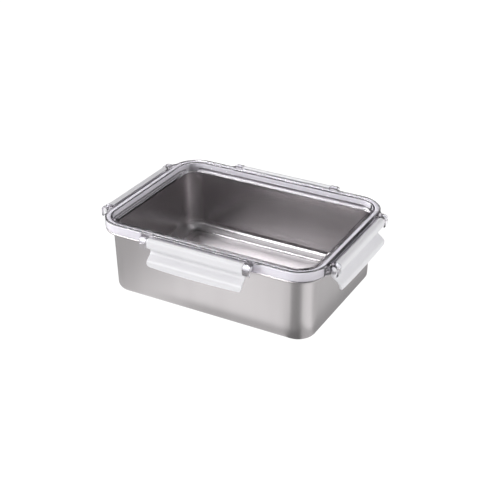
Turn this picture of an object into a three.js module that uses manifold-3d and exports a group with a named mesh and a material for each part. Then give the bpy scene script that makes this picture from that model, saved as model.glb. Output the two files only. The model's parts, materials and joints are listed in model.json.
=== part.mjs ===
// Stainless steel lunch box with a clear lid and four flap latches.
//
// Millimetres, +Z up, +X along the long side, origin at the bottom centre. Every section below is drawn
// as (out, height): "out" is the distance outwards from the lid frame's plan outline, and height is z.
import * as THREE from 'three';
import { mergeVertices } from 'three/addons/utils/BufferGeometryUtils.js';
import Module from 'manifold-3d';

const wasm = await Module();
wasm.setup();

// Plan outline of the lid's frame.
const HALF_LENGTH = 105;
const HALF_WIDTH = 77.3;
const CORNER_RADIUS = 25;
const CORNER_STEPS = 8;
const ARC_STEPS = 3;
const CURVE_STEPS = 6;
const JOIN = 0.5;
const GAP = 0.3;
const WELD = 1e-4;

// Steel tub.
const STEEL = 0.7;
const TUB_HEIGHT = 61.4;
const WALL_TOP_OUT = -6.9;
const WALL_FOOT_OUT = -8.4;
const FOOT_RADIUS = 5.5;
const RIM_BEND = 0.9;
const BEAD_RADIUS = 1.1;
const BEAD_OUT = -GAP - BEAD_RADIUS;
const PANEL_EDGE_OUT = -19.5;
const PANEL_STEP = 0.8;
const PANEL_SLOPE = 1.5;
const PLATE_OUT = -22;

// Clear lid.
const LID_FOOT = TUB_HEIGHT + GAP;
const LID_TOP = 70.7;
const LID_WALL = 1.6;
const FRAME_WIDTH = 6.7;
const INNER_WALL = 1.5;
const CHANNEL_ROOF = 68.9;
const EDGE_ROUND = 0.4;
const LEDGE_OUT = -1;
const LEDGE_TOP = 69.7;
const INNER_ROUND = 0.5;
const WINDOW_TOP = 65.2;
const WINDOW_THICK = 2;
const RAIL_OUT = 2.2;
const RAIL_FOOT = 66.4;
const RAIL_TOP = 69.4;
const RAIL_CHAMFER = 0.5;

// Silicone seal, standing in the channel under the frame.
const SEAL_TOP = CHANNEL_ROOF - GAP;
const SEAL_ROUND = 0.4;

// Hinge axis of each latch, and the open C-shaped lugs that hold it, each with a fairing beside it.
const PIVOT_OUT = 5.6;
const PIVOT_HEIGHT = 67;
const AXLE_RADIUS = 2;
const LUG_BORE = AXLE_RADIUS + GAP;
const LUG_RADIUS = 3.5;
const LUG_FOOT = 60.6;
const LUG_ROOT_FOOT = 62;
const LUG_THROAT = 63;
const LUG_CHAMFER = 0.7;
const LUG_WIDTH = 7;
const LUG_LIP_ANGLE = 35;
const FAIRING_LENGTH = 5;
const FAIRING_OUT = 3;
const FAIRING_FOOT = 62.4;
const FAIRING_TOP = 69.7;

// White latches: hinge barrel, bowed face, groove, catch behind the groove, and flared tab. Each EASE is
// how far up or down a curve of the section runs straight on from its end.
const LATCH_HALF = 45.3;
const BARREL_RADIUS = 3;
const BARREL_WRAP = 280;
const AXLE_LENGTH = 6.4;
const AXLE_STEPS = 24;
const FACE_FOOT = 64.4;
const FACE_EASE = 4.2;
const GROOVE_OUT = 3;
const GROOVE_HEIGHT = 56.6;
const GROOVE_EASE = 3;
const THROAT_OUT = 6.1;
const THROAT_HEIGHT = 63.2;
const CATCH_TOP = 58.3;
const CATCH_FOOT = 57;
const CATCH_NOSE = 0.5;
const CATCH_EASE = 2.6;
const TAB_FACE = 9.8;
const TAB_BACK = 7.6;
const TAB_BEND = 48.6;
const TAB_EASE = 3.4;
const TAB_FLARE = 0.2;
const TAB_ROUND = 1;
const TAB_FOOT = 43.6;
const TAB_BOW = 1.2;
const TAB_CORNER = 3.5;
const TRIM_DEPTH = 40;

// One entry for each side of the box: its name, its turn about +Z and how far out its edge lies.
const SIDES = [
  { name: 'front', turn: 0, edge: HALF_WIDTH },
  { name: 'right', turn: Math.PI / 2, edge: HALF_LENGTH },
  { name: 'back', turn: Math.PI, edge: HALF_WIDTH },
  { name: 'left', turn: -Math.PI / 2, edge: HALF_LENGTH },
];

const radians = THREE.MathUtils.degToRad;

const steel = new THREE.MeshStandardMaterial({ color: 0xb8b8ba, roughness: 0.3, metalness: 1 });
const silicone = new THREE.MeshStandardMaterial({ color: 0xe4e4e2, roughness: 0.6, metalness: 0 });
const white = new THREE.MeshStandardMaterial({ color: 0xf1f1f4, roughness: 0.4, metalness: 0 });
const clear = new THREE.MeshStandardMaterial({
  color: 0xe6e5ea,
  roughness: 0.08,
  metalness: 0,
  transparent: true,
  opacity: 0.3,
});

// A closed three.js geometry as a manifold solid.
function solid(geometry) {
  const bare = geometry.clone();
  bare.deleteAttribute('normal');
  bare.deleteAttribute('uv');
  const merged = mergeVertices(bare, WELD);
  return new wasm.Manifold(new wasm.Mesh({
    numProp: 3,
    vertProperties: new Float32Array(merged.attributes.position.array),
    triVerts: new Uint32Array(merged.index.array),
  }));
}

// A manifold solid as a three.js geometry.
function geometryOf(body) {
  const mesh = body.getMesh();
  const geometry = new THREE.BufferGeometry();
  geometry.setAttribute('position', new THREE.BufferAttribute(mesh.vertProperties, 3));
  geometry.setIndex(new THREE.BufferAttribute(mesh.triVerts, 1));
  geometry.computeVertexNormals();
  return geometry;
}

function named(name, body, material) {
  const mesh = new THREE.Mesh(geometryOf(body), material);
  mesh.name = name;
  return mesh;
}

// A closed section carried round the lid's rounded-rectangle outline: a lathe whose four quarter
// turns are moved apart to the four corners.
function aroundOutline(section) {
  const points = section.getPoints(ARC_STEPS);
  if (!points[0].equals(points[points.length - 1])) points.push(points[0].clone());
  const columns = CORNER_STEPS + 1;
  const geometry = new THREE.LatheGeometry(points, 4 * columns);
  const position = geometry.attributes.position;
  for (let i = 0; i < position.count; i += 1) {
    const point = points[i % points.length];
    const column = Math.floor(i / points.length) % (4 * columns);
    const corner = Math.floor(column / columns);
    const angle = (corner + (column % columns) / CORNER_STEPS) * Math.PI / 2;
    const reach = CORNER_RADIUS + point.x;
    const centreX = (HALF_LENGTH - CORNER_RADIUS) * (corner === 0 || corner === 3 ? 1 : -1);
    const centreY = (HALF_WIDTH - CORNER_RADIUS) * (corner < 2 ? 1 : -1);
    position.setXYZ(i, centreX + reach * Math.cos(angle), centreY + reach * Math.sin(angle), point.y);
  }
  return solid(geometry);
}

// A flat plate with the outline's rounded corners, moved in or out by "out".
function plate(out, foot, top) {
  const halfX = HALF_LENGTH + out;
  const halfY = HALF_WIDTH + out;
  const radius = CORNER_RADIUS + out;
  const outline = new THREE.Shape();
  outline.absarc(halfX - radius, halfY - radius, radius, 0, Math.PI / 2);
  outline.absarc(radius - halfX, halfY - radius, radius, Math.PI / 2, Math.PI);
  outline.absarc(radius - halfX, radius - halfY, radius, Math.PI, 1.5 * Math.PI);
  outline.absarc(halfX - radius, radius - halfY, radius, 1.5 * Math.PI, 2 * Math.PI);
  const settings = { depth: top - foot, bevelEnabled: false, curveSegments: CORNER_STEPS };
  return solid(new THREE.ExtrudeGeometry(outline, settings).translate(0, 0, foot));
}

// A section extruded along the front side, centred at "along".
function alongFront(section, length, along, edge) {
  const settings = { depth: length, bevelEnabled: false, curveSegments: CURVE_STEPS };
  const geometry = new THREE.ExtrudeGeometry(section, settings).translate(0, 0, -length / 2);
  const turn = new THREE.Matrix4().makeBasis(
    new THREE.Vector3(0, -1, 0),
    new THREE.Vector3(0, 0, 1),
    new THREE.Vector3(-1, 0, 0),
  );
  return solid(geometry.applyMatrix4(turn).translate(along, -edge, 0));
}

// A solid made for the front side, turned round to another side.
function turned(body, side) {
  return body.rotate([0, 0, THREE.MathUtils.radToDeg(side.turn)]);
}

// Tub: floor edge, foot fillet, tapered wall, flange and rolled bead, in one thickness of steel.
function tubSection() {
  const floorOut = WALL_FOOT_OUT - FOOT_RADIUS;
  const bendOut = WALL_TOP_OUT + RIM_BEND;
  const flangeFoot = TUB_HEIGHT - STEEL;
  const bendHeight = flangeFoot - RIM_BEND;
  const beadHeight = TUB_HEIGHT - BEAD_RADIUS;
  const beadStart = Math.PI - Math.asin((flangeFoot - beadHeight) / BEAD_RADIUS);
  const section = new THREE.Path();
  section.moveTo(PLATE_OUT, PANEL_STEP);
  section.lineTo(PANEL_EDGE_OUT - PANEL_SLOPE, PANEL_STEP);
  section.lineTo(PANEL_EDGE_OUT, 0);
  section.absarc(floorOut, FOOT_RADIUS, FOOT_RADIUS, -Math.PI / 2, 0, false);
  section.absarc(bendOut, bendHeight, RIM_BEND, Math.PI, Math.PI / 2, true);
  section.absarc(BEAD_OUT, beadHeight, BEAD_RADIUS, beadStart, 2.5 * Math.PI, false);
  section.absarc(bendOut, bendHeight, RIM_BEND + STEEL, Math.PI / 2, Math.PI, false);
  section.absarc(floorOut, FOOT_RADIUS, FOOT_RADIUS - STEEL, 0, -Math.PI / 2, true);
  section.lineTo(PANEL_EDGE_OUT, STEEL);
  section.lineTo(PANEL_EDGE_OUT - PANEL_SLOPE, PANEL_STEP + STEEL);
  section.lineTo(PLATE_OUT, PANEL_STEP + STEEL);
  section.closePath();
  return section;
}

function tub() {
  const floor = plate(PLATE_OUT + JOIN, PANEL_STEP, PANEL_STEP + STEEL);
  return aroundOutline(tubSection()).add(floor);
}

// Lid frame: outer skirt with a small ledge round its top, flat top and inner wall, hollow underneath
// for the seal.
function frameSection() {
  const section = new THREE.Path();
  section.moveTo(0, LID_FOOT);
  section.absarc(-EDGE_ROUND, LEDGE_TOP - EDGE_ROUND, EDGE_ROUND, 0, Math.PI / 2, false);
  section.lineTo(LEDGE_OUT, LEDGE_TOP);
  section.absarc(LEDGE_OUT - EDGE_ROUND, LID_TOP - EDGE_ROUND, EDGE_ROUND, 0, Math.PI / 2, false);
  section.absarc(INNER_ROUND - FRAME_WIDTH, LID_TOP - INNER_ROUND, INNER_ROUND, Math.PI / 2, Math.PI, false);
  section.lineTo(-FRAME_WIDTH, LID_FOOT);
  section.lineTo(INNER_WALL - FRAME_WIDTH, LID_FOOT);
  section.lineTo(INNER_WALL - FRAME_WIDTH, CHANNEL_ROOF);
  section.lineTo(-LID_WALL, CHANNEL_ROOF);
  section.lineTo(-LID_WALL, LID_FOOT);
  section.closePath();
  return section;
}

// C-shaped lug: a root on the skirt, an arm over the axle and a lip on each side of the throat.
function lugSection() {
  const lip = radians(LUG_LIP_ANGLE);
  const section = new THREE.Shape();
  section.moveTo(-JOIN, LUG_ROOT_FOOT);
  section.lineTo(PIVOT_OUT - LUG_BORE, LUG_THROAT);
  section.absarc(PIVOT_OUT, PIVOT_HEIGHT, LUG_BORE, Math.PI + lip, -lip, true);
  section.lineTo(PIVOT_OUT + LUG_BORE, LUG_THROAT);
  section.lineTo(PIVOT_OUT + LUG_BORE, LUG_FOOT);
  section.lineTo(PIVOT_OUT + LUG_RADIUS, LUG_FOOT + LUG_CHAMFER);
  section.absarc(PIVOT_OUT, PIVOT_HEIGHT, LUG_RADIUS, 0, Math.PI / 2, false);
  section.lineTo(LEDGE_OUT - JOIN, PIVOT_HEIGHT + LUG_RADIUS);
  section.lineTo(LEDGE_OUT - JOIN, LEDGE_TOP - JOIN);
  section.lineTo(-JOIN, LEDGE_TOP - JOIN);
  section.closePath();
  return section;
}

// Low rail that joins the two lugs of a side behind the latch's barrel.
function railSection() {
  const section = new THREE.Shape();
  section.moveTo(-JOIN, RAIL_FOOT);
  section.lineTo(RAIL_OUT - RAIL_CHAMFER, RAIL_FOOT);
  section.lineTo(RAIL_OUT, RAIL_FOOT + RAIL_CHAMFER);
  section.lineTo(RAIL_OUT, RAIL_TOP - RAIL_CHAMFER);
  section.lineTo(RAIL_OUT - RAIL_CHAMFER, RAIL_TOP);
  section.lineTo(-JOIN, RAIL_TOP);
  section.closePath();
  return section;
}

// Pair of fairings for the front side, which slope from the lugs' outer faces down to the skirt.
function fairings(edge) {
  const lugFace = LATCH_HALF + GAP + LUG_WIDTH;
  const plan = new THREE.Shape();
  plan.moveTo(lugFace + FAIRING_LENGTH, -edge);
  plan.lineTo(lugFace + FAIRING_LENGTH, JOIN - edge);
  plan.lineTo(lugFace - JOIN, JOIN - edge);
  plan.lineTo(lugFace - JOIN, -edge - FAIRING_OUT);
  plan.lineTo(lugFace, -edge - FAIRING_OUT);
  plan.closePath();
  const settings = { depth: FAIRING_TOP - FAIRING_FOOT, bevelEnabled: false };
  const one = solid(new THREE.ExtrudeGeometry(plan, settings).translate(0, 0, FAIRING_FOOT));
  return one.add(one.mirror([1, 0, 0]));
}

function lid() {
  const window = plate(JOIN - FRAME_WIDTH, WINDOW_TOP - WINDOW_THICK, WINDOW_TOP);
  let body = aroundOutline(frameSection()).add(window);
  for (const side of SIDES) {
    const lugAlong = LATCH_HALF + GAP + LUG_WIDTH / 2;
    for (const along of [-lugAlong, lugAlong]) {
      body = body.add(turned(alongFront(lugSection(), LUG_WIDTH, along, side.edge), side));
    }
    const rail = alongFront(railSection(), 2 * lugAlong, 0, side.edge);
    body = body.add(turned(rail, side)).add(turned(fairings(side.edge), side));
  }
  return body;
}

function sealSection() {
  const inner = INNER_WALL - FRAME_WIDTH + GAP;
  const outer = -LID_WALL - GAP;
  const section = new THREE.Path();
  section.moveTo(inner, LID_FOOT);
  section.lineTo(outer, LID_FOOT);
  section.absarc(outer - SEAL_ROUND, SEAL_TOP - SEAL_ROUND, SEAL_ROUND, 0, Math.PI / 2, false);
  section.absarc(inner + SEAL_ROUND, SEAL_TOP - SEAL_ROUND, SEAL_ROUND, Math.PI / 2, Math.PI, false);
  section.closePath();
  return section;
}

// Latch section, from the tab's tip up the front face, over the barrel and down the back.
function latchSection() {
  const tip = TAB_FACE + TAB_FLARE;
  const tabBack = TAB_BACK + TAB_FLARE;
  const barrelFace = PIVOT_OUT + BARREL_RADIUS;
  const intoGroove = GROOVE_HEIGHT - GROOVE_EASE;
  const outOfGroove = GROOVE_HEIGHT + GROOVE_EASE;
  const tabEase = TAB_BEND + TAB_EASE;
  const section = new THREE.Shape();
  section.moveTo(tip, TAB_FOOT + TAB_ROUND);
  section.lineTo(TAB_FACE, TAB_BEND);
  section.bezierCurveTo(TAB_FACE - TAB_FLARE, tabEase, GROOVE_OUT, intoGroove, GROOVE_OUT, GROOVE_HEIGHT);
  section.bezierCurveTo(GROOVE_OUT, outOfGroove, barrelFace, FACE_FOOT - FACE_EASE, barrelFace, FACE_FOOT);
  section.absarc(PIVOT_OUT, PIVOT_HEIGHT, BARREL_RADIUS, 0, radians(BARREL_WRAP), false);
  section.lineTo(THROAT_OUT, THROAT_HEIGHT);
  section.bezierCurveTo(
    THROAT_OUT, THROAT_HEIGHT - CATCH_EASE,
    CATCH_NOSE + CATCH_EASE, CATCH_TOP + GAP,
    CATCH_NOSE, CATCH_TOP,
  );
  section.lineTo(0, CATCH_TOP - CATCH_NOSE);
  section.lineTo(0, CATCH_FOOT);
  section.bezierCurveTo(0, CATCH_FOOT - CATCH_EASE, TAB_BACK - TAB_FLARE, tabEase, TAB_BACK, TAB_BEND);
  section.lineTo(tabBack, TAB_FOOT + TAB_ROUND);
  section.quadraticCurveTo(tabBack, TAB_FOOT, (tip + tabBack) / 2, TAB_FOOT);
  section.quadraticCurveTo(tip, TAB_FOOT, tip, TAB_FOOT + TAB_ROUND);
  return section;
}

// Front view of a latch: square at the hinge, rounded at the tab's corners, with a bowed lower edge.
function latchOutline() {
  const corner = LATCH_HALF - TAB_CORNER;
  const foot = TAB_FOOT + TAB_BOW;
  const top = PIVOT_HEIGHT + BARREL_RADIUS + GAP;
  const outline = new THREE.Shape();
  outline.moveTo(LATCH_HALF, top);
  outline.lineTo(-LATCH_HALF, top);
  outline.absarc(-corner, foot + TAB_CORNER, TAB_CORNER, Math.PI, 1.5 * Math.PI, false);
  outline.quadraticCurveTo(0, TAB_FOOT - TAB_BOW, corner, foot);
  outline.absarc(corner, foot + TAB_CORNER, TAB_CORNER, 1.5 * Math.PI, 2 * Math.PI, false);
  outline.closePath();
  return outline;
}

// One latch with its two stub axles, drawn for the front side with its hinge axis as its origin.
function latch() {
  const bar = alongFront(latchSection(), 2 * LATCH_HALF, 0, -PIVOT_OUT);
  const settings = { depth: TRIM_DEPTH, bevelEnabled: false, curveSegments: CURVE_STEPS };
  const view = new THREE.ExtrudeGeometry(latchOutline(), settings).translate(0, 0, -TRIM_DEPTH / 2);
  const trim = solid(view.rotateX(Math.PI / 2));
  const axleSpan = 2 * (LATCH_HALF + AXLE_LENGTH);
  const axle = new THREE.CylinderGeometry(AXLE_RADIUS, AXLE_RADIUS, axleSpan, AXLE_STEPS);
  const axles = solid(axle.rotateZ(Math.PI / 2).translate(0, 0, PIVOT_HEIGHT));
  return bar.intersect(trim).add(axles).translate([0, 0, -PIVOT_HEIGHT]);
}

function latchOn(side) {
  const mesh = named(`latch_${side.name}`, latch(), white);
  mesh.position.set(0, -side.edge - PIVOT_OUT, PIVOT_HEIGHT);
  const turn = new THREE.Group();
  turn.rotation.z = side.turn;
  turn.add(mesh);
  return turn;
}

const lidGroup = new THREE.Group();
lidGroup.add(named('lid', lid(), clear));
lidGroup.add(named('lid_seal', aroundOutline(sealSection()), silicone));
for (const side of SIDES) lidGroup.add(latchOn(side));

const group = new THREE.Group();
group.add(named('tub', tub(), steel));
group.add(lidGroup);

export default group;
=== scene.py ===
import json
import math

import bmesh
import bpy
from mathutils import Matrix, Vector

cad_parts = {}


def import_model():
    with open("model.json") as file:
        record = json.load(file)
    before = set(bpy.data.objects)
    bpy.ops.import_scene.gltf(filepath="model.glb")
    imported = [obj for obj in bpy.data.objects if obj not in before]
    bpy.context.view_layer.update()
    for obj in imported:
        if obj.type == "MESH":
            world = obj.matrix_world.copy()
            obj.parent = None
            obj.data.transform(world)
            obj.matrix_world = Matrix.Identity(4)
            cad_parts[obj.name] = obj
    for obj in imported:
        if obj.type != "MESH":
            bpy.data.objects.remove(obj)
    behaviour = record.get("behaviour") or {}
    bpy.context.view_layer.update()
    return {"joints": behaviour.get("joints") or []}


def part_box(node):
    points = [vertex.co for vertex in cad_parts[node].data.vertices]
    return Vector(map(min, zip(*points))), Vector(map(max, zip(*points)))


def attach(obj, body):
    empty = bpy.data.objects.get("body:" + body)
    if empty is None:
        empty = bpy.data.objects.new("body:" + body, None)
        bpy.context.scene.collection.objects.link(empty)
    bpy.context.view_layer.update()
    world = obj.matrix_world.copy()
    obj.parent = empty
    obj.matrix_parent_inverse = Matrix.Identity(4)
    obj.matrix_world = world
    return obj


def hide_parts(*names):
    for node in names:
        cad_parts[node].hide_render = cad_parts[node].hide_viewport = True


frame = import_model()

# Sections are drawn in millimetres as (out, height): "out" is the distance outwards from the plan
# outline of the lid's frame, and height is z. MM turns them into the scene's metres.
MM = 0.001

# How the CAD model's parts sit on the outline of the lid's frame, and the gap it leaves between them.
RIM_INSET = 0.3
PIVOT_OUT = 5.6
GAP = 0.3
CORNER = 25.0
LEAST_CORNER = 2.0
CORNER_STEPS = 20
SIDE_STEPS = 8

JOINTS = {joint["name"]: joint for joint in frame["joints"]}
TUB_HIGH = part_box("tub")[1]
HALF_LENGTH = TUB_HIGH.x / MM + RIM_INSET
HALF_WIDTH = TUB_HIGH.y / MM + RIM_INSET
TUB_TOP = TUB_HIGH.z / MM
LID_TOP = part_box("lid")[1].z / MM
SEAL_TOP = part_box("lid_seal")[1].z / MM
PIVOT_HEIGHT = JOINTS["front_latch_hinge"]["pos_m"][2] / MM
SIDES = {
    "front": (0, HALF_WIDTH),
    "right": (90, HALF_LENGTH),
    "back": (180, HALF_WIDTH),
    "left": (270, HALF_LENGTH),
}


# ---------------------------------------------------------------- sections and meshes

def arc(centre, radius, start, end, steps=8):
    """Points along an arc, with its angles in degrees."""
    points = []
    for i in range(steps + 1):
        angle = math.radians(start + (end - start) * i / steps)
        points.append((centre[0] + radius * math.cos(angle), centre[1] + radius * math.sin(angle)))
    return points


def bezier(a, b, c, d, steps=14):
    """Points along a cubic curve, without its first point."""
    points = []
    for i in range(1, steps + 1):
        t = i / steps
        weights = ((1 - t) ** 3, 3 * t * (1 - t) ** 2, 3 * t * t * (1 - t), t ** 3)
        points.append(tuple(sum(w * p[k] for w, p in zip(weights, (a, b, c, d))) for k in (0, 1)))
    return points


def line(a, b, steps):
    """Points along a straight stretch, without its first point."""
    return [(a[0] + (b[0] - a[0]) * i / steps, a[1] + (b[1] - a[1]) * i / steps)
            for i in range(1, steps + 1)]


def offset(path, distance, closed=False):
    """The path moved sideways, to its left for a positive distance."""
    moved = []
    count = len(path)
    for i, point in enumerate(path):
        before = path[i - 1] if closed or i else path[0]
        after = path[(i + 1) % count] if closed or i + 1 < count else path[-1]
        dx, dy = after[0] - before[0], after[1] - before[1]
        length = math.hypot(dx, dy)
        moved.append((point[0] - dy / length * distance, point[1] + dx / length * distance))
    return moved


def outline(out):
    """The frame's rounded-rectangle outline, moved outwards, as points in millimetres."""
    radius = max(CORNER + out, LEAST_CORNER)
    reach_x, reach_y = HALF_LENGTH + out - radius, HALF_WIDTH + out - radius
    corners = []
    for quarter, (sx, sy) in enumerate(((1, 1), (-1, 1), (-1, -1), (1, -1))):
        start = 90 * quarter
        corners.append(arc((sx * reach_x, sy * reach_y), radius, start, start + 90, CORNER_STEPS))
    points = []
    for here, following in zip(corners, corners[1:] + corners[:1]):
        points += here + line(here[-1], following[0], SIDE_STEPS)[:-1]
    return points


SMOOTH_ANGLE = 35
LID_SMOOTH_ANGLE = 30
LATCH_SMOOTH_ANGLE = 40
BEVEL_ANGLE = 50


def mesh_object(name, vertices, faces, smooth_angle=SMOOTH_ANGLE):
    """A mesh object with its faces turned outwards and smooth except at sharp edges."""
    mesh = bpy.data.meshes.new(name)
    mesh.from_pydata([Vector(v) * MM for v in vertices], [], faces)
    work = bmesh.new()
    work.from_mesh(mesh)
    bmesh.ops.recalc_face_normals(work, faces=work.faces)
    work.to_mesh(mesh)
    work.free()
    obj = bpy.data.objects.new(name, mesh)
    bpy.context.scene.collection.objects.link(obj)
    smooth(obj, smooth_angle)
    return obj


def smooth(obj, angle):
    """Smooth shading, but for edges sharper than the angle in degrees."""
    for polygon in obj.data.polygons:
        polygon.use_smooth = True
    obj.data.set_sharp_from_angle(angle=math.radians(angle))


def swept(name, section, closed):
    """A section carried round the outline. An open section is capped at both ends."""
    vertices, faces = [], []
    for out, height in section:
        vertices += [(x, y, height) for x, y in outline(out)]
    columns = len(vertices) // len(section)
    rows = len(section)
    for row in range(rows if closed else rows - 1):
        low, high = row * columns, (row + 1) % rows * columns
        for i in range(columns):
            j = (i + 1) % columns
            faces.append((low + i, low + j, high + j, high + i))
    if not closed:
        faces.append(tuple(range(columns)))
        faces.append(tuple(range((rows - 1) * columns, rows * columns)))
    return mesh_object(name, vertices, faces)


def on_side(obj, side):
    """Turns a mesh made for the front side round to another side, in its mesh."""
    obj.data.transform(Matrix.Rotation(math.radians(SIDES[side][0]), 4, "Z"))
    return obj


def prism_faces(count):
    """Two end caps and the sides of a prism, whose two ends have count points each."""
    caps = [tuple(range(count)), tuple(range(count, 2 * count))]
    return caps + [(i, (i + 1) % count, count + (i + 1) % count, count + i) for i in range(count)]


def bar(name, section, low, high, edge, bevel=0.0):
    """A closed section extruded along the front side between two places on X."""
    vertices = [(x, -edge - out, height) for x in (low, high) for out, height in section]
    obj = mesh_object(name, vertices, prism_faces(len(section)))
    if bevel:
        work = bmesh.new()
        work.from_mesh(obj.data)
        sharp = [e for e in work.edges if e.calc_face_angle(0) > math.radians(BEVEL_ANGLE)]
        bmesh.ops.bevel(work, geom=sharp, offset=bevel * MM, segments=2, profile=0.5, affect="EDGES")
        work.to_mesh(obj.data)
        work.free()
        smooth(obj, SMOOTH_ANGLE)
    return obj


def split_caps(obj):
    """Cuts end caps into triangles, since a hollow-sided cap can't be joined as it is."""
    work = bmesh.new()
    work.from_mesh(obj.data)
    caps = [face for face in work.faces if len(face.verts) > 4]
    bmesh.ops.triangulate(work, faces=caps, ngon_method="EAR_CLIP")
    work.to_mesh(obj.data)
    work.free()


def united(base, extras, angle):
    """Joins the extras to the base as one solid."""
    for piece in [base, *extras]:
        split_caps(piece)
    for extra in extras:
        join = base.modifiers.new("join", "BOOLEAN")
        join.operation = "UNION"
        join.solver = "EXACT"
        join.object = extra
    bpy.context.view_layer.update()
    evaluated = base.evaluated_get(bpy.context.evaluated_depsgraph_get())
    mesh = bpy.data.meshes.new_from_object(evaluated)
    base.modifiers.clear()
    base.data = mesh
    for extra in extras:
        bpy.data.objects.remove(extra)
    smooth(base, angle)
    return base


# ---------------------------------------------------------------- materials

STEEL_TONES = ((0.46, 0.44, 0.445), (0.52, 0.50, 0.505))
WHITE_TONES = ((0.70, 0.695, 0.72), (0.74, 0.735, 0.755))
SILICONE_TONES = ((0.65, 0.635, 0.655), (0.71, 0.695, 0.715))
CLEAR_TINT = (0.64, 0.615, 0.645)

# How the steel's noise is stretched, so that its lines stand upright or run lengthwise.
UPRIGHT = (1, 1, 0.02)
LENGTHWISE = (0.02, 1, 1)
GRAIN_MAP = "grain"


def new_material(name):
    """A material with an empty tree but for its Principled shader and output."""
    material = bpy.data.materials.new(name)
    material.use_nodes = True
    nodes = material.node_tree.nodes
    shader = nodes["Principled BSDF"]
    return material, nodes, material.node_tree.links, shader


def object_noise(nodes, links, scale, detail=2.0, roughness=0.5, stretch=(1, 1, 1)):
    """Noise in the object's own space, with its space stretched along each axis."""
    place = nodes.new("ShaderNodeTexCoord")
    mapping = nodes.new("ShaderNodeMapping")
    mapping.inputs["Scale"].default_value = stretch
    noise = nodes.new("ShaderNodeTexNoise")
    noise.inputs["Scale"].default_value = scale
    noise.inputs["Detail"].default_value = detail
    noise.inputs["Roughness"].default_value = roughness
    links.new(place.outputs["Object"], mapping.inputs["Vector"])
    links.new(mapping.outputs["Vector"], noise.inputs["Vector"])
    return noise.outputs["Fac"]


def remap(nodes, links, value, target, source=(0.0, 1.0), soft=False):
    """Maps a value from the source range onto the target range, along a soft curve if asked."""
    node = nodes.new("ShaderNodeMapRange")
    if soft:
        node.interpolation_type = "SMOOTHSTEP"
    node.inputs["From Min"].default_value, node.inputs["From Max"].default_value = source
    node.inputs["To Min"].default_value, node.inputs["To Max"].default_value = target
    links.new(value, node.inputs["Value"])
    return node.outputs["Result"]


def calculated(nodes, links, operation, a, b=0.0):
    """A Math node on two values, each a number or another node's output."""
    node = nodes.new("ShaderNodeMath")
    node.operation = operation
    for socket, value in zip(node.inputs, (a, b)):
        if isinstance(value, float):
            socket.default_value = value
        else:
            links.new(value, socket)
    return node.outputs["Value"]


def bump(nodes, links, height, depth, under=None):
    """A normal raised by a height from 0 to 1, as deep as depth in metres, over another normal."""
    node = nodes.new("ShaderNodeBump")
    node.inputs["Strength"].default_value = 1.0
    node.inputs["Distance"].default_value = depth
    links.new(height, node.inputs["Height"])
    if under is not None:
        links.new(under, node.inputs["Normal"])
    return node.outputs["Normal"]


def mixed_colour(nodes, links, factor, low, high):
    """A colour between two others."""
    ramp = nodes.new("ShaderNodeMix")
    ramp.data_type = "RGBA"
    ramp.inputs["A"].default_value = (*low, 1)
    ramp.inputs["B"].default_value = (*high, 1)
    links.new(factor, ramp.inputs["Factor"])
    return ramp.outputs["Result"]


def steel_material(name, stretch, roughness):
    """Satin stainless steel: fine brush lines, long soft smears and a slight waviness."""
    material, nodes, links, shader = new_material(name)
    lines = object_noise(nodes, links, 500, 3, 0.6, stretch)
    smears = object_noise(nodes, links, 45, 2, 0.5, stretch)
    waves = object_noise(nodes, links, 10, 1, 0.4)
    shader.inputs["Metallic"].default_value = 1.0
    shader.inputs["Anisotropic"].default_value = 0.8
    tangent = nodes.new("ShaderNodeTangent")
    tangent.direction_type = "UV_MAP"
    tangent.uv_map = GRAIN_MAP
    links.new(tangent.outputs["Tangent"], shader.inputs["Tangent"])
    links.new(mixed_colour(nodes, links, smears, *STEEL_TONES), shader.inputs["Base Color"])
    rough = remap(nodes, links, lines, (roughness - 0.02, roughness + 0.02))
    links.new(rough, shader.inputs["Roughness"])
    wavy = bump(nodes, links, waves, 0.0002)
    links.new(bump(nodes, links, lines, 0.0000001, wavy), shader.inputs["Normal"])
    return material


def clear_material():
    """Clear plastic with a faint lavender tint, which lets lamps through to the steel under it."""
    material, nodes, links, shader = new_material("clear_plastic")
    grain = object_noise(nodes, links, 700, 2)
    shader.inputs["Base Color"].default_value = (0.98, 0.98, 1.0, 1)
    shader.inputs["Transmission Weight"].default_value = 1.0
    shader.inputs["IOR"].default_value = 1.49
    links.new(remap(nodes, links, grain, (0.01, 0.05)), shader.inputs["Roughness"])
    links.new(bump(nodes, links, object_noise(nodes, links, 25, 1), 0.00002), shader.inputs["Normal"])
    depth = nodes.new("ShaderNodeVolumeAbsorption")
    depth.inputs["Color"].default_value = (*CLEAR_TINT, 1)
    depth.inputs["Density"].default_value = 120
    links.new(depth.outputs["Volume"], nodes["Material Output"].inputs["Volume"])
    through = nodes.new("ShaderNodeBsdfTransparent")
    through.inputs["Color"].default_value = (0.97, 0.97, 0.98, 1)
    mix_for_lamps(nodes, links, shader, through)
    return material


def mix_for_lamps(nodes, links, shader, through):
    """The shader, but a see-through one where a lamp's light has to reach what lies behind."""
    path = nodes.new("ShaderNodeLightPath")
    mix = nodes.new("ShaderNodeMixShader")
    links.new(path.outputs["Is Shadow Ray"], mix.inputs["Fac"])
    links.new(shader.outputs["BSDF"], mix.inputs[1])
    links.new(through.outputs["BSDF"], mix.inputs[2])
    links.new(mix.outputs["Shader"], nodes["Material Output"].inputs["Surface"])


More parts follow.
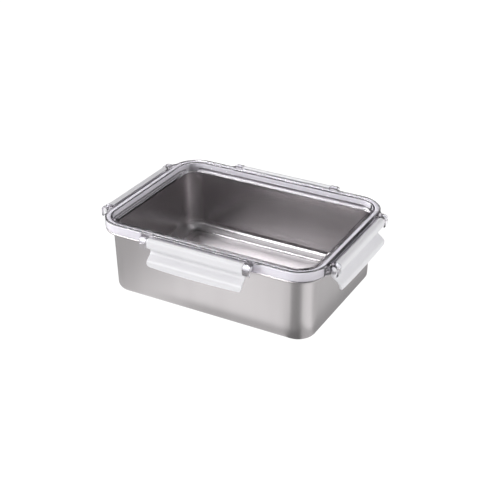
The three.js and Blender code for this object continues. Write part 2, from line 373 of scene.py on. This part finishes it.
def window_material():
    """The flat middle of the lid: clear enough to see straight through, with a light gloss."""
    material, nodes, links, shader = new_material("clear_window")
    nodes.remove(shader)
    through = nodes.new("ShaderNodeBsdfTransparent")
    through.inputs["Color"].default_value = (0.97, 0.97, 0.975, 1)
    gloss = nodes.new("ShaderNodeBsdfGlossy")
    gloss.inputs["Roughness"].default_value = 0.04
    ripple = bump(nodes, links, object_noise(nodes, links, 12, 1), 0.00005)
    links.new(ripple, gloss.inputs["Normal"])
    mix = nodes.new("ShaderNodeMixShader")
    mix.inputs["Fac"].default_value = 0.02
    links.new(through.outputs["BSDF"], mix.inputs[1])
    links.new(gloss.outputs["BSDF"], mix.inputs[2])
    links.new(mix.outputs["Shader"], nodes["Material Output"].inputs["Surface"])
    return material


def white_material():
    """White moulded plastic with a fine satin grain."""
    material, nodes, links, shader = new_material("white_plastic")
    grain = object_noise(nodes, links, 1800, 2)
    tone = object_noise(nodes, links, 40, 2)
    links.new(mixed_colour(nodes, links, tone, *WHITE_TONES), shader.inputs["Base Color"])
    links.new(remap(nodes, links, grain, (0.30, 0.42)), shader.inputs["Roughness"])
    shader.inputs["Subsurface Weight"].default_value = 0.15
    shader.inputs["Subsurface Radius"].default_value = (0.002, 0.002, 0.002)
    links.new(bump(nodes, links, grain, 0.00001), shader.inputs["Normal"])
    return material


def silicone_material():
    """Milky silicone rubber with a faint mottle."""
    material, nodes, links, shader = new_material("silicone")
    grain = object_noise(nodes, links, 300, 2)
    links.new(mixed_colour(nodes, links, grain, *SILICONE_TONES), shader.inputs["Base Color"])
    links.new(remap(nodes, links, grain, (0.40, 0.52)), shader.inputs["Roughness"])
    shader.inputs["IOR"].default_value = 1.41
    shader.inputs["Subsurface Weight"].default_value = 0.3
    shader.inputs["Subsurface Radius"].default_value = (0.001, 0.001, 0.001)
    links.new(bump(nodes, links, grain, 0.00001), shader.inputs["Normal"])
    return material


# ---------------------------------------------------------------- tub

SHEET = 0.7
OUTER_FOOT = 5.5
INNER_FOOT = 13.0
WALL_FOOT_OUT = -8.4
WALL_TOP_OUT = -6.9
FLANGE_BEND = 0.9
CURL_RADIUS = 1.1
CURL_END = -175

# The floor is stamped up in two low steps towards its middle; each step runs between two places.
FLOOR_MIDDLE_OUT = -43
INNER_STEP = (-34, -33)
OUTER_STEP = (-25.5, -23.5)
PANEL_RISE = 0.8
INNER_PANEL_RISE = 1.2

# What counts as floor when the brush lines are laid out: how level it is, and its height in metres.
LEVEL = 0.95
FLOOR_HEIGHT = 0.003


def stamped_step(start, end, low, high, steps=6):
    """A soft step in the floor between two places, as points after the first."""
    points = []
    for i in range(1, steps + 1):
        t = i / steps
        points.append((start + (end - start) * t, low + (high - low) * (1 - math.cos(math.pi * t)) / 2))
    return points


def tub_path(foot):
    """The middle of the sheet, from the floor up the wall, over the flange and round the rolled rim."""
    half = SHEET / 2
    floor, panel, inner_panel = half, half + PANEL_RISE, half + INNER_PANEL_RISE
    foot_out, wall_out = WALL_FOOT_OUT - half, WALL_TOP_OUT - half
    bend = FLANGE_BEND + half
    curl = CURL_RADIUS - half
    flange = TUB_TOP - half
    path = [(FLOOR_MIDDLE_OUT, inner_panel), (INNER_STEP[0], inner_panel)]
    path += stamped_step(*INNER_STEP, inner_panel, panel)
    path += [(OUTER_STEP[0], panel)]
    path += stamped_step(*OUTER_STEP, panel, floor)
    path += arc((foot_out - (foot - half), foot), foot - half, -90, 0, 14)
    path += line(path[-1], (wall_out, flange - bend), 14)[:-1]
    path += arc((wall_out + bend, flange - bend), bend, 180, 90)
    path += arc((-RIM_INSET - CURL_RADIUS, flange - curl), curl, 90, CURL_END, 16)
    return path


def steel_tub():
    """The tub as one sheet, with a wider foot radius inside than outside."""
    inside = offset(tub_path(INNER_FOOT), SHEET / 2)
    outside = offset(tub_path(OUTER_FOOT), -SHEET / 2)
    tub = swept("steel_tub", inside + outside[::-1], closed=False)
    brush_direction(tub)
    return tub


def brush_direction(tub):
    """A map whose first direction runs across the brush lines: round the walls, and in Y on the floor."""
    tub.data.materials.append(steel_material("steel_walls", UPRIGHT, 0.26))
    tub.data.materials.append(steel_material("steel_floor", LENGTHWISE, 0.42))
    grain = tub.data.uv_layers.new(name=GRAIN_MAP)
    for polygon in tub.data.polygons:
        normal = polygon.normal
        flat = abs(normal.z) > LEVEL and polygon.center.z < FLOOR_HEIGHT
        polygon.material_index = 1 if flat else 0
        across = Vector((0, 1, 0)) if flat else Vector((-normal.y, normal.x, 0)).normalized()
        along = normal.cross(across)
        for loop in polygon.loop_indices:
            place = tub.data.vertices[tub.data.loops[loop].vertex_index].co
            grain.data[loop].uv = (place.dot(across), place.dot(along))


# ---------------------------------------------------------------- lid

WINDOW_TOP = 65.2
WINDOW_FOOT = 63.2
WINDOW_MIDDLE_OUT = -20
WINDOW_EDGE_OUT = -12
RECESS_WALL_OUT = -6.8
RECESS_FILLET = 0.9
FRAME_IN = -6.7
CHANNEL_IN = -5.2
SKIRT_IN = -1.6
CHANNEL_ROOF = SEAL_TOP + GAP
CHANNEL_FILLET = 0.2
TOP_ROUND = 0.5
EDGE_ROUND = 0.4
LEDGE = 1.0
LEDGE_FILLET = 0.25


def lid_section():
    """Window, recess wall, frame, skirt and the channel under the frame, as one open section."""
    foot, top, ledge = TUB_TOP + GAP, LID_TOP, LID_TOP - LEDGE
    edge, inner, corner = EDGE_ROUND, LEDGE_FILLET, CHANNEL_FILLET
    section = [(WINDOW_MIDDLE_OUT, WINDOW_TOP), (WINDOW_EDGE_OUT, WINDOW_TOP)]
    section += arc((RECESS_WALL_OUT - RECESS_FILLET, WINDOW_TOP + RECESS_FILLET), RECESS_FILLET, -90, 0, 6)
    section += arc((FRAME_IN + TOP_ROUND, top - TOP_ROUND), TOP_ROUND, 180, 90, 6)
    section += line((FRAME_IN + TOP_ROUND, top), (-LEDGE - edge, top), 3)[:-1]
    section += arc((-LEDGE - edge, top - edge), edge, 90, 0, 6)
    section += arc((-LEDGE + inner, ledge + inner), inner, 180, 270, 4)
    section += arc((-edge, ledge - edge), edge, 90, 0, 6)
    section += line((0, ledge - edge), (0, foot + edge), 4)[:-1]
    section += arc((-edge, foot + edge), edge, 0, -90, 4)
    section += arc((SKIRT_IN + edge, foot + edge), edge, -90, -180, 4)
    section += arc((SKIRT_IN - corner, CHANNEL_ROOF - corner), corner, 0, 90, 3)
    section += arc((CHANNEL_IN + corner, CHANNEL_ROOF - corner), corner, 90, 180, 3)
    section += arc((CHANNEL_IN - edge, foot + edge), edge, 0, -90, 4)
    section += arc((FRAME_IN + edge, foot + edge), edge, -90, -180, 4)
    section += arc((FRAME_IN - edge, WINDOW_FOOT - edge), edge, 0, 90, 4)
    section += [(WINDOW_EDGE_OUT, WINDOW_FOOT), (WINDOW_MIDDLE_OUT, WINDOW_FOOT)]
    return section


# How far in the lugs and rails start, inside the skirt and the ledge, so that they join them.
INTO_SKIRT = -0.6
INTO_LEDGE = 0.1
LUG_INNER, LUG_OUTER = 45.6, 52.6
LUG_RADIUS = 3.5
LUG_BORE = 2.3
LUG_FOOT = 62
LUG_BEVEL = 0.25
MOUTH_ANGLES = (215, -35)
MOUTH_TOP = 63
LIP_FOOT = 60.6
LIP_RISE = 0.7
RAIL_OUT = 2.2
RAIL_FOOT, RAIL_TOP = 66.4, 69.4
RAIL_CHAMFER = 0.5
RAIL_INTO_LUG = 2
FAIRING_LENGTH = 5
FAIRING_OUT = 3
FAIRING_FOOT, FAIRING_TOP = 62.4, 69.7
FAIRING_INTO = 0.5


def lug_section():
    """C-shaped lug with its mouth down."""
    pin = (PIVOT_OUT, PIVOT_HEIGHT)
    lip = PIVOT_OUT + LUG_BORE
    section = [(INTO_SKIRT, LUG_FOOT), (PIVOT_OUT - LUG_BORE, MOUTH_TOP)]
    section += arc(pin, LUG_BORE, *MOUTH_ANGLES, 20)
    section += [(lip, MOUTH_TOP), (lip, LIP_FOOT), (PIVOT_OUT + LUG_RADIUS, LIP_FOOT + LIP_RISE)]
    section += arc(pin, LUG_RADIUS, 0, 90, 10)
    section += [(-LEDGE - INTO_LEDGE, PIVOT_HEIGHT + LUG_RADIUS)]
    return section


def rail_section():
    """Bar along the skirt between two lugs, with chamfered outer edges."""
    chamfered = RAIL_OUT - RAIL_CHAMFER
    return [
        (INTO_SKIRT, RAIL_FOOT),
        (chamfered, RAIL_FOOT),
        (RAIL_OUT, RAIL_FOOT + RAIL_CHAMFER),
        (RAIL_OUT, RAIL_TOP - RAIL_CHAMFER),
        (chamfered, RAIL_TOP),
        (INTO_SKIRT, RAIL_TOP),
    ]


def fairing(end, edge):
    """Small web beside a lug that slopes from its outer face down to the skirt; end is 1 or -1."""
    plan = [
        (LUG_OUTER + FAIRING_LENGTH, 0),
        (LUG_OUTER + FAIRING_LENGTH, -FAIRING_INTO),
        (LUG_OUTER - FAIRING_INTO, -FAIRING_INTO),
        (LUG_OUTER - FAIRING_INTO, FAIRING_OUT),
        (LUG_OUTER, FAIRING_OUT),
    ]
    vertices = [(end * along, -edge - out, height)
                for height in (FAIRING_FOOT, FAIRING_TOP) for along, out in plan]
    return mesh_object("fairing", vertices, prism_faces(len(plan)))


def clear_lid():
    """The lid with its lugs, fairings and rails, as one solid."""
    lid = swept("clear_lid", lid_section(), closed=False)
    extras = []
    for side, (_, edge) in SIDES.items():
        for low, high in ((LUG_INNER, LUG_OUTER), (-LUG_OUTER, -LUG_INNER)):
            extras.append(on_side(bar("lug", lug_section(), low, high, edge, LUG_BEVEL), side))
            extras.append(on_side(fairing(math.copysign(1, low), edge), side))
        reach = LUG_INNER + RAIL_INTO_LUG
        extras.append(on_side(bar("rail", rail_section(), -reach, reach, edge), side))
    return united(lid, extras, LID_SMOOTH_ANGLE)


# How far in from the frame's outline the window's own material starts.
WINDOW_INSET = 11


def give_window(lid, clear, window):
    """Two slots: the frame and lugs, and the flat window inside the recess."""
    lid.data.materials.clear()
    lid.data.materials.append(clear)
    lid.data.materials.append(window)
    reach_x, reach_y = (HALF_LENGTH - WINDOW_INSET) * MM, (HALF_WIDTH - WINDOW_INSET) * MM
    for polygon in lid.data.polygons:
        inside = abs(polygon.center.x) < reach_x and abs(polygon.center.y) < reach_y
        polygon.material_index = 1 if inside else 0


# ---------------------------------------------------------------- seal

SEAL_IN, SEAL_OUT = -4.9, -1.9
SEAL_HOLLOW = 0.7
SEAL_HOLLOW_EDGES = (-4.1, -2.7)
SEAL_ROUND = 0.4


def seal_ring():
    """Ring with a hollow in its foot and rounded shoulders."""
    foot = TUB_TOP + GAP
    shoulder = SEAL_TOP - SEAL_ROUND
    middle = (SEAL_IN + SEAL_OUT) / 2
    section = [(SEAL_IN, foot), (SEAL_HOLLOW_EDGES[0], foot), (middle, foot + SEAL_HOLLOW)]
    section += [(SEAL_HOLLOW_EDGES[1], foot), (SEAL_OUT, foot)]
    section += arc((SEAL_OUT - SEAL_ROUND, shoulder), SEAL_ROUND, 0, 90, 5)
    section += arc((SEAL_IN + SEAL_ROUND, shoulder), SEAL_ROUND, 90, 180, 5)
    return swept("seal_ring", section, closed=True)


# ---------------------------------------------------------------- latches

LATCH_HALF = 45.3
BARREL_RADIUS = 3
BARREL_END_ANGLE = 280
AXLE_RADIUS = 2
AXLE_SIDES = 24
AXLE_ENDS = (44.4, 51.7)
AXLE_BEVEL = 0.3
CATCH_RADIUS = 0.5
CATCH_TOP_ANGLE = 100
TAB_FOOT = 43.6
TAB_BOW = 1.2
TAB_CORNER = 3.5
TAB_BEND = 50.0
TAB_FOOT_OUT = 8.9
TAB_FOOT_RADIUS = 1.1
END_ROUND = 0.45
END_STEPS = 4
CORNER_STRETCH = 3.2
CORNER_STATIONS = 6
MIDDLE_HALF = 38
MIDDLE_STATIONS = 16


def latch_section():
    """Flared tab, groove, bowed face and barrel outside, then the catch and the tab's back, closed."""
    pin = (PIVOT_OUT, PIVOT_HEIGHT)
    tab_face = [(9.99, 45.6), (9.95, 46.6), (9.8, 48.6)]
    groove, shoulder = (3, 56.6), (8.6, 64.4)
    section = tab_face + bezier(tab_face[-1], (9.6, 52), (3, 53.6), groove)
    section += bezier(groove, (3, 59.6), (8.6, 60.2), shoulder)
    section += arc(pin, BARREL_RADIUS, 0, BARREL_END_ANGLE, 28)
    under_barrel = (6.1, 63.2)
    section += [under_barrel] + bezier(under_barrel, (6.1, 60.6), (3.4, 58.6), (0.5, 58.3), 8)
    section += arc((0.5, 57.8), CATCH_RADIUS, CATCH_TOP_ANGLE, 180, 4)
    catch_foot = (0, 57)
    section += [catch_foot] + bezier(catch_foot, (0, 54.4), (7.4, 52.6), (7.6, 48.4))
    section += [(7.75, 46.6)]
    section += arc((TAB_FOOT_OUT, TAB_FOOT + TAB_FOOT_RADIUS), TAB_FOOT_RADIUS, 180, 360)
    return section


def tab_foot(along):
    """Height of the tab's lower edge: bowed, and rounded up at the ends."""
    straight = LATCH_HALF - TAB_CORNER
    bowed = TAB_FOOT + TAB_BOW * min(abs(along) / straight, 1) ** 2
    over = min(max(abs(along) - straight, 0), TAB_CORNER)
    return bowed + TAB_CORNER - math.sqrt(TAB_CORNER ** 2 - over ** 2)


def latch_stations():
    """Places along the latch and how far its section is drawn in there, which rounds its ends."""
    quarter = [math.pi / 2 * i / END_STEPS for i in range(END_STEPS + 1)]
    ends = [(LATCH_HALF - END_ROUND * (1 - math.sin(a)), END_ROUND * (1 - math.cos(a))) for a in quarter]
    corner = [(LATCH_HALF - END_ROUND - CORNER_STRETCH * (1 - i / CORNER_STATIONS), 0)
              for i in range(CORNER_STATIONS)]
    middle = [(-MIDDLE_HALF + 2 * MIDDLE_HALF * i / MIDDLE_STATIONS, 0) for i in range(MIDDLE_STATIONS + 1)]
    right = corner + ends
    return [(-along, inset) for along, inset in reversed(right)] + middle + right


def bent_to(foot, height):
    """A height on the tab, stretched or squeezed so that the tab ends at foot."""
    if height >= TAB_BEND:
        return height
    return TAB_BEND - (TAB_BEND - height) * (TAB_BEND - foot) / (TAB_BEND - TAB_FOOT)


def latch(side):
    """One latch, with its stub axles joined to the ends of its barrel."""
    edge = SIDES[side][1]
    section = latch_section()
    vertices, faces = [], []
    for along, inset in latch_stations():
        foot = tab_foot(along)
        drawn = offset(section, inset, closed=True) if inset else section
        vertices += [(along, -edge - out, bent_to(foot, height)) for out, height in drawn]
    count = len(section)
    rows = len(vertices) // count
    for row in range(rows - 1):
        for i in range(count):
            j = (i + 1) % count
            low, high = row * count, (row + 1) * count
            faces.append((low + i, low + j, high + j, high + i))
    faces.append(tuple(range(count)))
    faces.append(tuple(range((rows - 1) * count, rows * count)))
    flap = mesh_object(f"flap_{side}", vertices, faces, LATCH_SMOOTH_ANGLE)
    pin = arc((PIVOT_OUT, PIVOT_HEIGHT), AXLE_RADIUS, 0, 360 - 360 / AXLE_SIDES, AXLE_SIDES - 1)
    near, far = AXLE_ENDS
    axles = [bar("axle", pin, low, high, edge, AXLE_BEVEL) for low, high in ((near, far), (-far, -near))]
    return on_side(united(flap, axles, LATCH_SMOOTH_ANGLE), side)


# ---------------------------------------------------------------- stage, lights and camera

def hide_from(obj, kinds):
    """Hides an object from some kinds of ray: camera, diffuse, glossy, transmission or shadow."""
    for kind in kinds:
        setattr(obj, f"visible_{kind}", False)


def area_light(name, place, target, size, power, hidden_from):
    """A rectangular lamp turned towards its target."""
    data = bpy.data.lights.new(name, "AREA")
    data.shape = "RECTANGLE"
    data.size, data.size_y = size
    data.energy = power
    lamp = bpy.data.objects.new(name, data)
    lamp.location = place
    lamp.rotation_euler = (Vector(target) - Vector(place)).to_track_quat("-Z", "Y").to_euler()
    bpy.context.scene.collection.objects.link(lamp)
    hide_from(lamp, hidden_from)


# The stage's planes, in millimetres. The table lies just clear of the tub's foot.
PLANE_REACH = 12000
TABLE_HEIGHT = -0.02
TWIN_HEIGHT = -1


def plane(name, height, brightness, hidden_from):
    """A wide glowing plane; brightness gives its strength from its own nodes."""
    corners = [(x * PLANE_REACH, y * PLANE_REACH, height) for x, y in ((-1, -1), (1, -1), (1, 1), (-1, 1))]
    card = mesh_object(name, corners, [(0, 1, 2, 3)])
    material, nodes, links, shader = new_material(name)
    shader.inputs["Base Color"].default_value = (0.1, 0.1, 0.1, 1)
    shader.inputs["Roughness"].default_value = 0.9
    shader.inputs["Specular IOR Level"].default_value = 0.0
    shader.inputs["Emission Color"].default_value = (1, 1, 1, 1)
    brightness(nodes, links, shader.inputs["Emission Strength"])
    card.data.materials.append(material)
    hide_from(card, hidden_from)


def even_floor(nodes, links, strength):
    """The same brightness all over."""
    strength.default_value = 1.0


# Painted reflection: the brightness painted on the table's hidden twin, which only the steel mirrors, by
# direction from the box's near corner, in degrees from straight ahead towards the right.
NEAR_CORNER = (0.0801, -0.0537, 0)
PAINTED_REFLECTION_GLOW = (
    (-100, 0.75), (-85, 1.25), (-22, 1.25), (-8, 0.4),
    (34, 0.3), (50, 1.12), (85, 1.3), (110, 0.75),
)

# The painted reflection is dimmer towards the left of the box, a painted shade between these two places on
# X in metres.
PAINTED_SHADE_LEFT = (-0.13, -0.02)
PAINTED_SHADE_LEVEL = 0.5

# The painted shadow under and beside the box, which only the steel mirrors: how strong, how far it reaches
# out in metres, and where on X it sets in.
PAINTED_CONTACT_SHADOW = 0.42
SHADE_REACH = (0.002, 0.012)
SHADE_START = (-0.08, 0.0)


def painted_reflection_glow(nodes, links, strength):
    """Painted light and painted shade on the table's hidden twin, which only the steel mirrors."""
    place = nodes.new("ShaderNodeTexCoord")
    shift = nodes.new("ShaderNodeVectorMath")
    shift.operation = "SUBTRACT"
    shift.inputs[1].default_value = NEAR_CORNER
    links.new(place.outputs["Object"], shift.inputs[0])
    lit = remap(nodes, links, painted_reflection_by_direction(nodes, links, shift.outputs["Vector"]), (0, 2))
    across = nodes.new("ShaderNodeSeparateXYZ")
    links.new(place.outputs["Object"], across.inputs["Vector"])
    # Painted shade: the painted reflection darkens towards the box's left end.
    fade = remap(nodes, links, across.outputs["X"], (PAINTED_SHADE_LEVEL, 1.0), PAINTED_SHADE_LEFT, soft=True)
    faded = calculated(nodes, links, "MULTIPLY", lit, fade)
    # Painted shadow under and beside the box, multiplied into the painted reflection.
    shaded = calculated(nodes, links, "MULTIPLY", faded, painted_contact_shadow(nodes, links, across))
    links.new(shaded, strength)


def painted_reflection_by_direction(nodes, links, place):
    """Half of the painted reflection's brightness, by direction from the near corner."""
    split = nodes.new("ShaderNodeSeparateXYZ")
    links.new(place, split.inputs["Vector"])
    ahead = calculated(nodes, links, "MULTIPLY", split.outputs["Y"], -1.0)
    turn = calculated(nodes, links, "ARCTAN2", split.outputs["X"], ahead)
    ramp = nodes.new("ShaderNodeValToRGB")
    ramp.color_ramp.interpolation = "EASE"
    stops = ramp.color_ramp.elements
    while len(stops) < len(PAINTED_REFLECTION_GLOW):
        stops.new(0.5)
    for stop, (angle, glow) in zip(stops, PAINTED_REFLECTION_GLOW):
        stop.position = angle / 360 + 0.5
        stop.color = (glow / 2, glow / 2, glow / 2, 1)
    links.new(remap(nodes, links, turn, (0.0, 1.0), (-math.pi, math.pi)), ramp.inputs["Fac"])
    return ramp.outputs["Color"]


def painted_contact_shadow(nodes, links, across):
    """Painted shadow on the table's hidden twin under the box and close beside it, which fades out towards
    its left end.
    """
    reaches = []
    for axis, half in (("X", HALF_LENGTH), ("Y", HALF_WIDTH)):
        size = calculated(nodes, links, "ABSOLUTE", across.outputs[axis])
        reaches.append(calculated(nodes, links, "SUBTRACT", size, half * MM))
    outside = calculated(nodes, links, "MAXIMUM", *reaches)
    shade = remap(nodes, links, outside, (PAINTED_CONTACT_SHADOW, 0.0), SHADE_REACH, soft=True)
    there = remap(nodes, links, across.outputs["X"], (0.0, 1.0), SHADE_START, soft=True)
    return calculated(nodes, links, "SUBTRACT", 1.0, calculated(nodes, links, "MULTIPLY", shade, there))


def floor():
    """The white table, and under it a twin with painted reflections and a painted shadow, which only
    polished surfaces see.
    """
    plane("table", TABLE_HEIGHT, even_floor, ("glossy",))
    unseen_by = ("camera", "diffuse", "transmission", "shadow")
    # The twin glows with painted reflections and a painted shadow; only the steel's reflections show it.
    plane("painted_reflection_twin", TWIN_HEIGHT, painted_reflection_glow, unseen_by)


def heading(azimuth, elevation):
    """A direction, with its azimuth in degrees from the front towards the right."""
    turn, rise = math.radians(azimuth), math.radians(elevation)
    return Vector((math.sin(turn) * math.cos(rise), -math.cos(turn) * math.cos(rise), math.sin(rise)))


ROOM = 0.02
GLOWS = ((-62, 12, 3.0), (-62, 42, 1.5), (118, 12, 0.5), (118, 42, 1.5), (28, 42, 0.3))
GLOW_HALF_WIDTH = 40


def world():
    """A dim room with a white backdrop and soft glows, each with its heading and strength."""
    room = bpy.data.worlds.new("room")
    room.use_nodes = True
    nodes, links = room.node_tree.nodes, room.node_tree.links
    direction = nodes.new("ShaderNodeTexCoord")
    rim, core = (math.cos(math.radians(angle)) for angle in (GLOW_HALF_WIDTH, GLOW_HALF_WIDTH / 4))
    total = ROOM
    for azimuth, elevation, strength in GLOWS:
        dot = nodes.new("ShaderNodeVectorMath")
        dot.operation = "DOT_PRODUCT"
        dot.inputs[1].default_value = heading(azimuth, elevation)
        links.new(direction.outputs["Generated"], dot.inputs[0])
        glow = remap(nodes, links, dot.outputs["Value"], (0.0, strength), (rim, core), soft=True)
        total = calculated(nodes, links, "ADD", glow, total)
    path = nodes.new("ShaderNodeLightPath")
    seen = calculated(nodes, links, "MAXIMUM", total, path.outputs["Is Camera Ray"])
    links.new(seen, nodes["Background"].inputs["Strength"])
    nodes["Background"].inputs["Color"].default_value = (1, 1, 1, 1)
    bpy.context.scene.world = room


def lights():
    """Soft fills that light only the plastics, and strips that polished surfaces mirror."""
    middle = (0, 0, 0.05)
    area_light("front_fill", (0.5, -1.6, 0.9), middle, (1.6, 1.2), 6, ("glossy",))
    area_light("right_fill", (1.6, -0.3, 0.9), middle, (1.2, 1.2), 6, ("glossy",))
    area_light("overhead", (-0.46, 0.29, 0.96), (0, 0, 0), (0.35, 0.35), 6.3, ("diffuse",))
    over_front = heading(-28.5, 29) * 3
    area_light("low_strip", over_front, (0, 0, 0.03), (2.6, 0.35), 42, ("diffuse", "transmission"))


VIEW_AZIMUTH, VIEW_ELEVATION, VIEW_ROLL = 28.47, 28.68, 0.14
EYE = (0.4074, -0.7398, 0.4930)
LENS = 77.85


def camera():
    """A view over the box's right front corner, turned slightly about its own axis."""
    roll = math.radians(VIEW_ROLL)
    back = heading(VIEW_AZIMUTH, VIEW_ELEVATION)
    level = heading(VIEW_AZIMUTH + 90, 0)
    upright = back.cross(level)
    right = level * math.cos(roll) + upright * math.sin(roll)
    up = upright * math.cos(roll) - level * math.sin(roll)
    data = bpy.data.cameras.new("camera")
    data.sensor_width = 36
    data.lens = LENS
    data.clip_start = 0.01
    eye = bpy.data.objects.new("camera", data)
    rows = [(right[axis], up[axis], back[axis], EYE[axis]) for axis in range(3)]
    eye.matrix_world = Matrix((*rows, (0, 0, 0, 1)))
    bpy.context.scene.collection.objects.link(eye)
    bpy.context.scene.camera = eye


# ---------------------------------------------------------------- assembly

def place(piece, body, node, slot, material=None):
    """Puts a piece on its body, in the place of its CAD node, with its material; slot is not used."""
    if material is not None:
        piece.data.materials.clear()
        piece.data.materials.append(material)
    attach(piece, body)
    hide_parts(node)


bpy.context.scene.view_settings.view_transform = "Standard"
place(steel_tub(), "tub", "tub", "steel")
lid = clear_lid()
give_window(lid, clear_material(), window_material())
place(lid, "lid", "lid", "clear_plastic")
place(seal_ring(), "lid", "lid_seal", "silicone", silicone_material())
white = white_material()
for side in SIDES:
    place(latch(side), f"latch_{side}", f"latch_{side}", "white_plastic", white)

floor()
world()
lights()
camera()
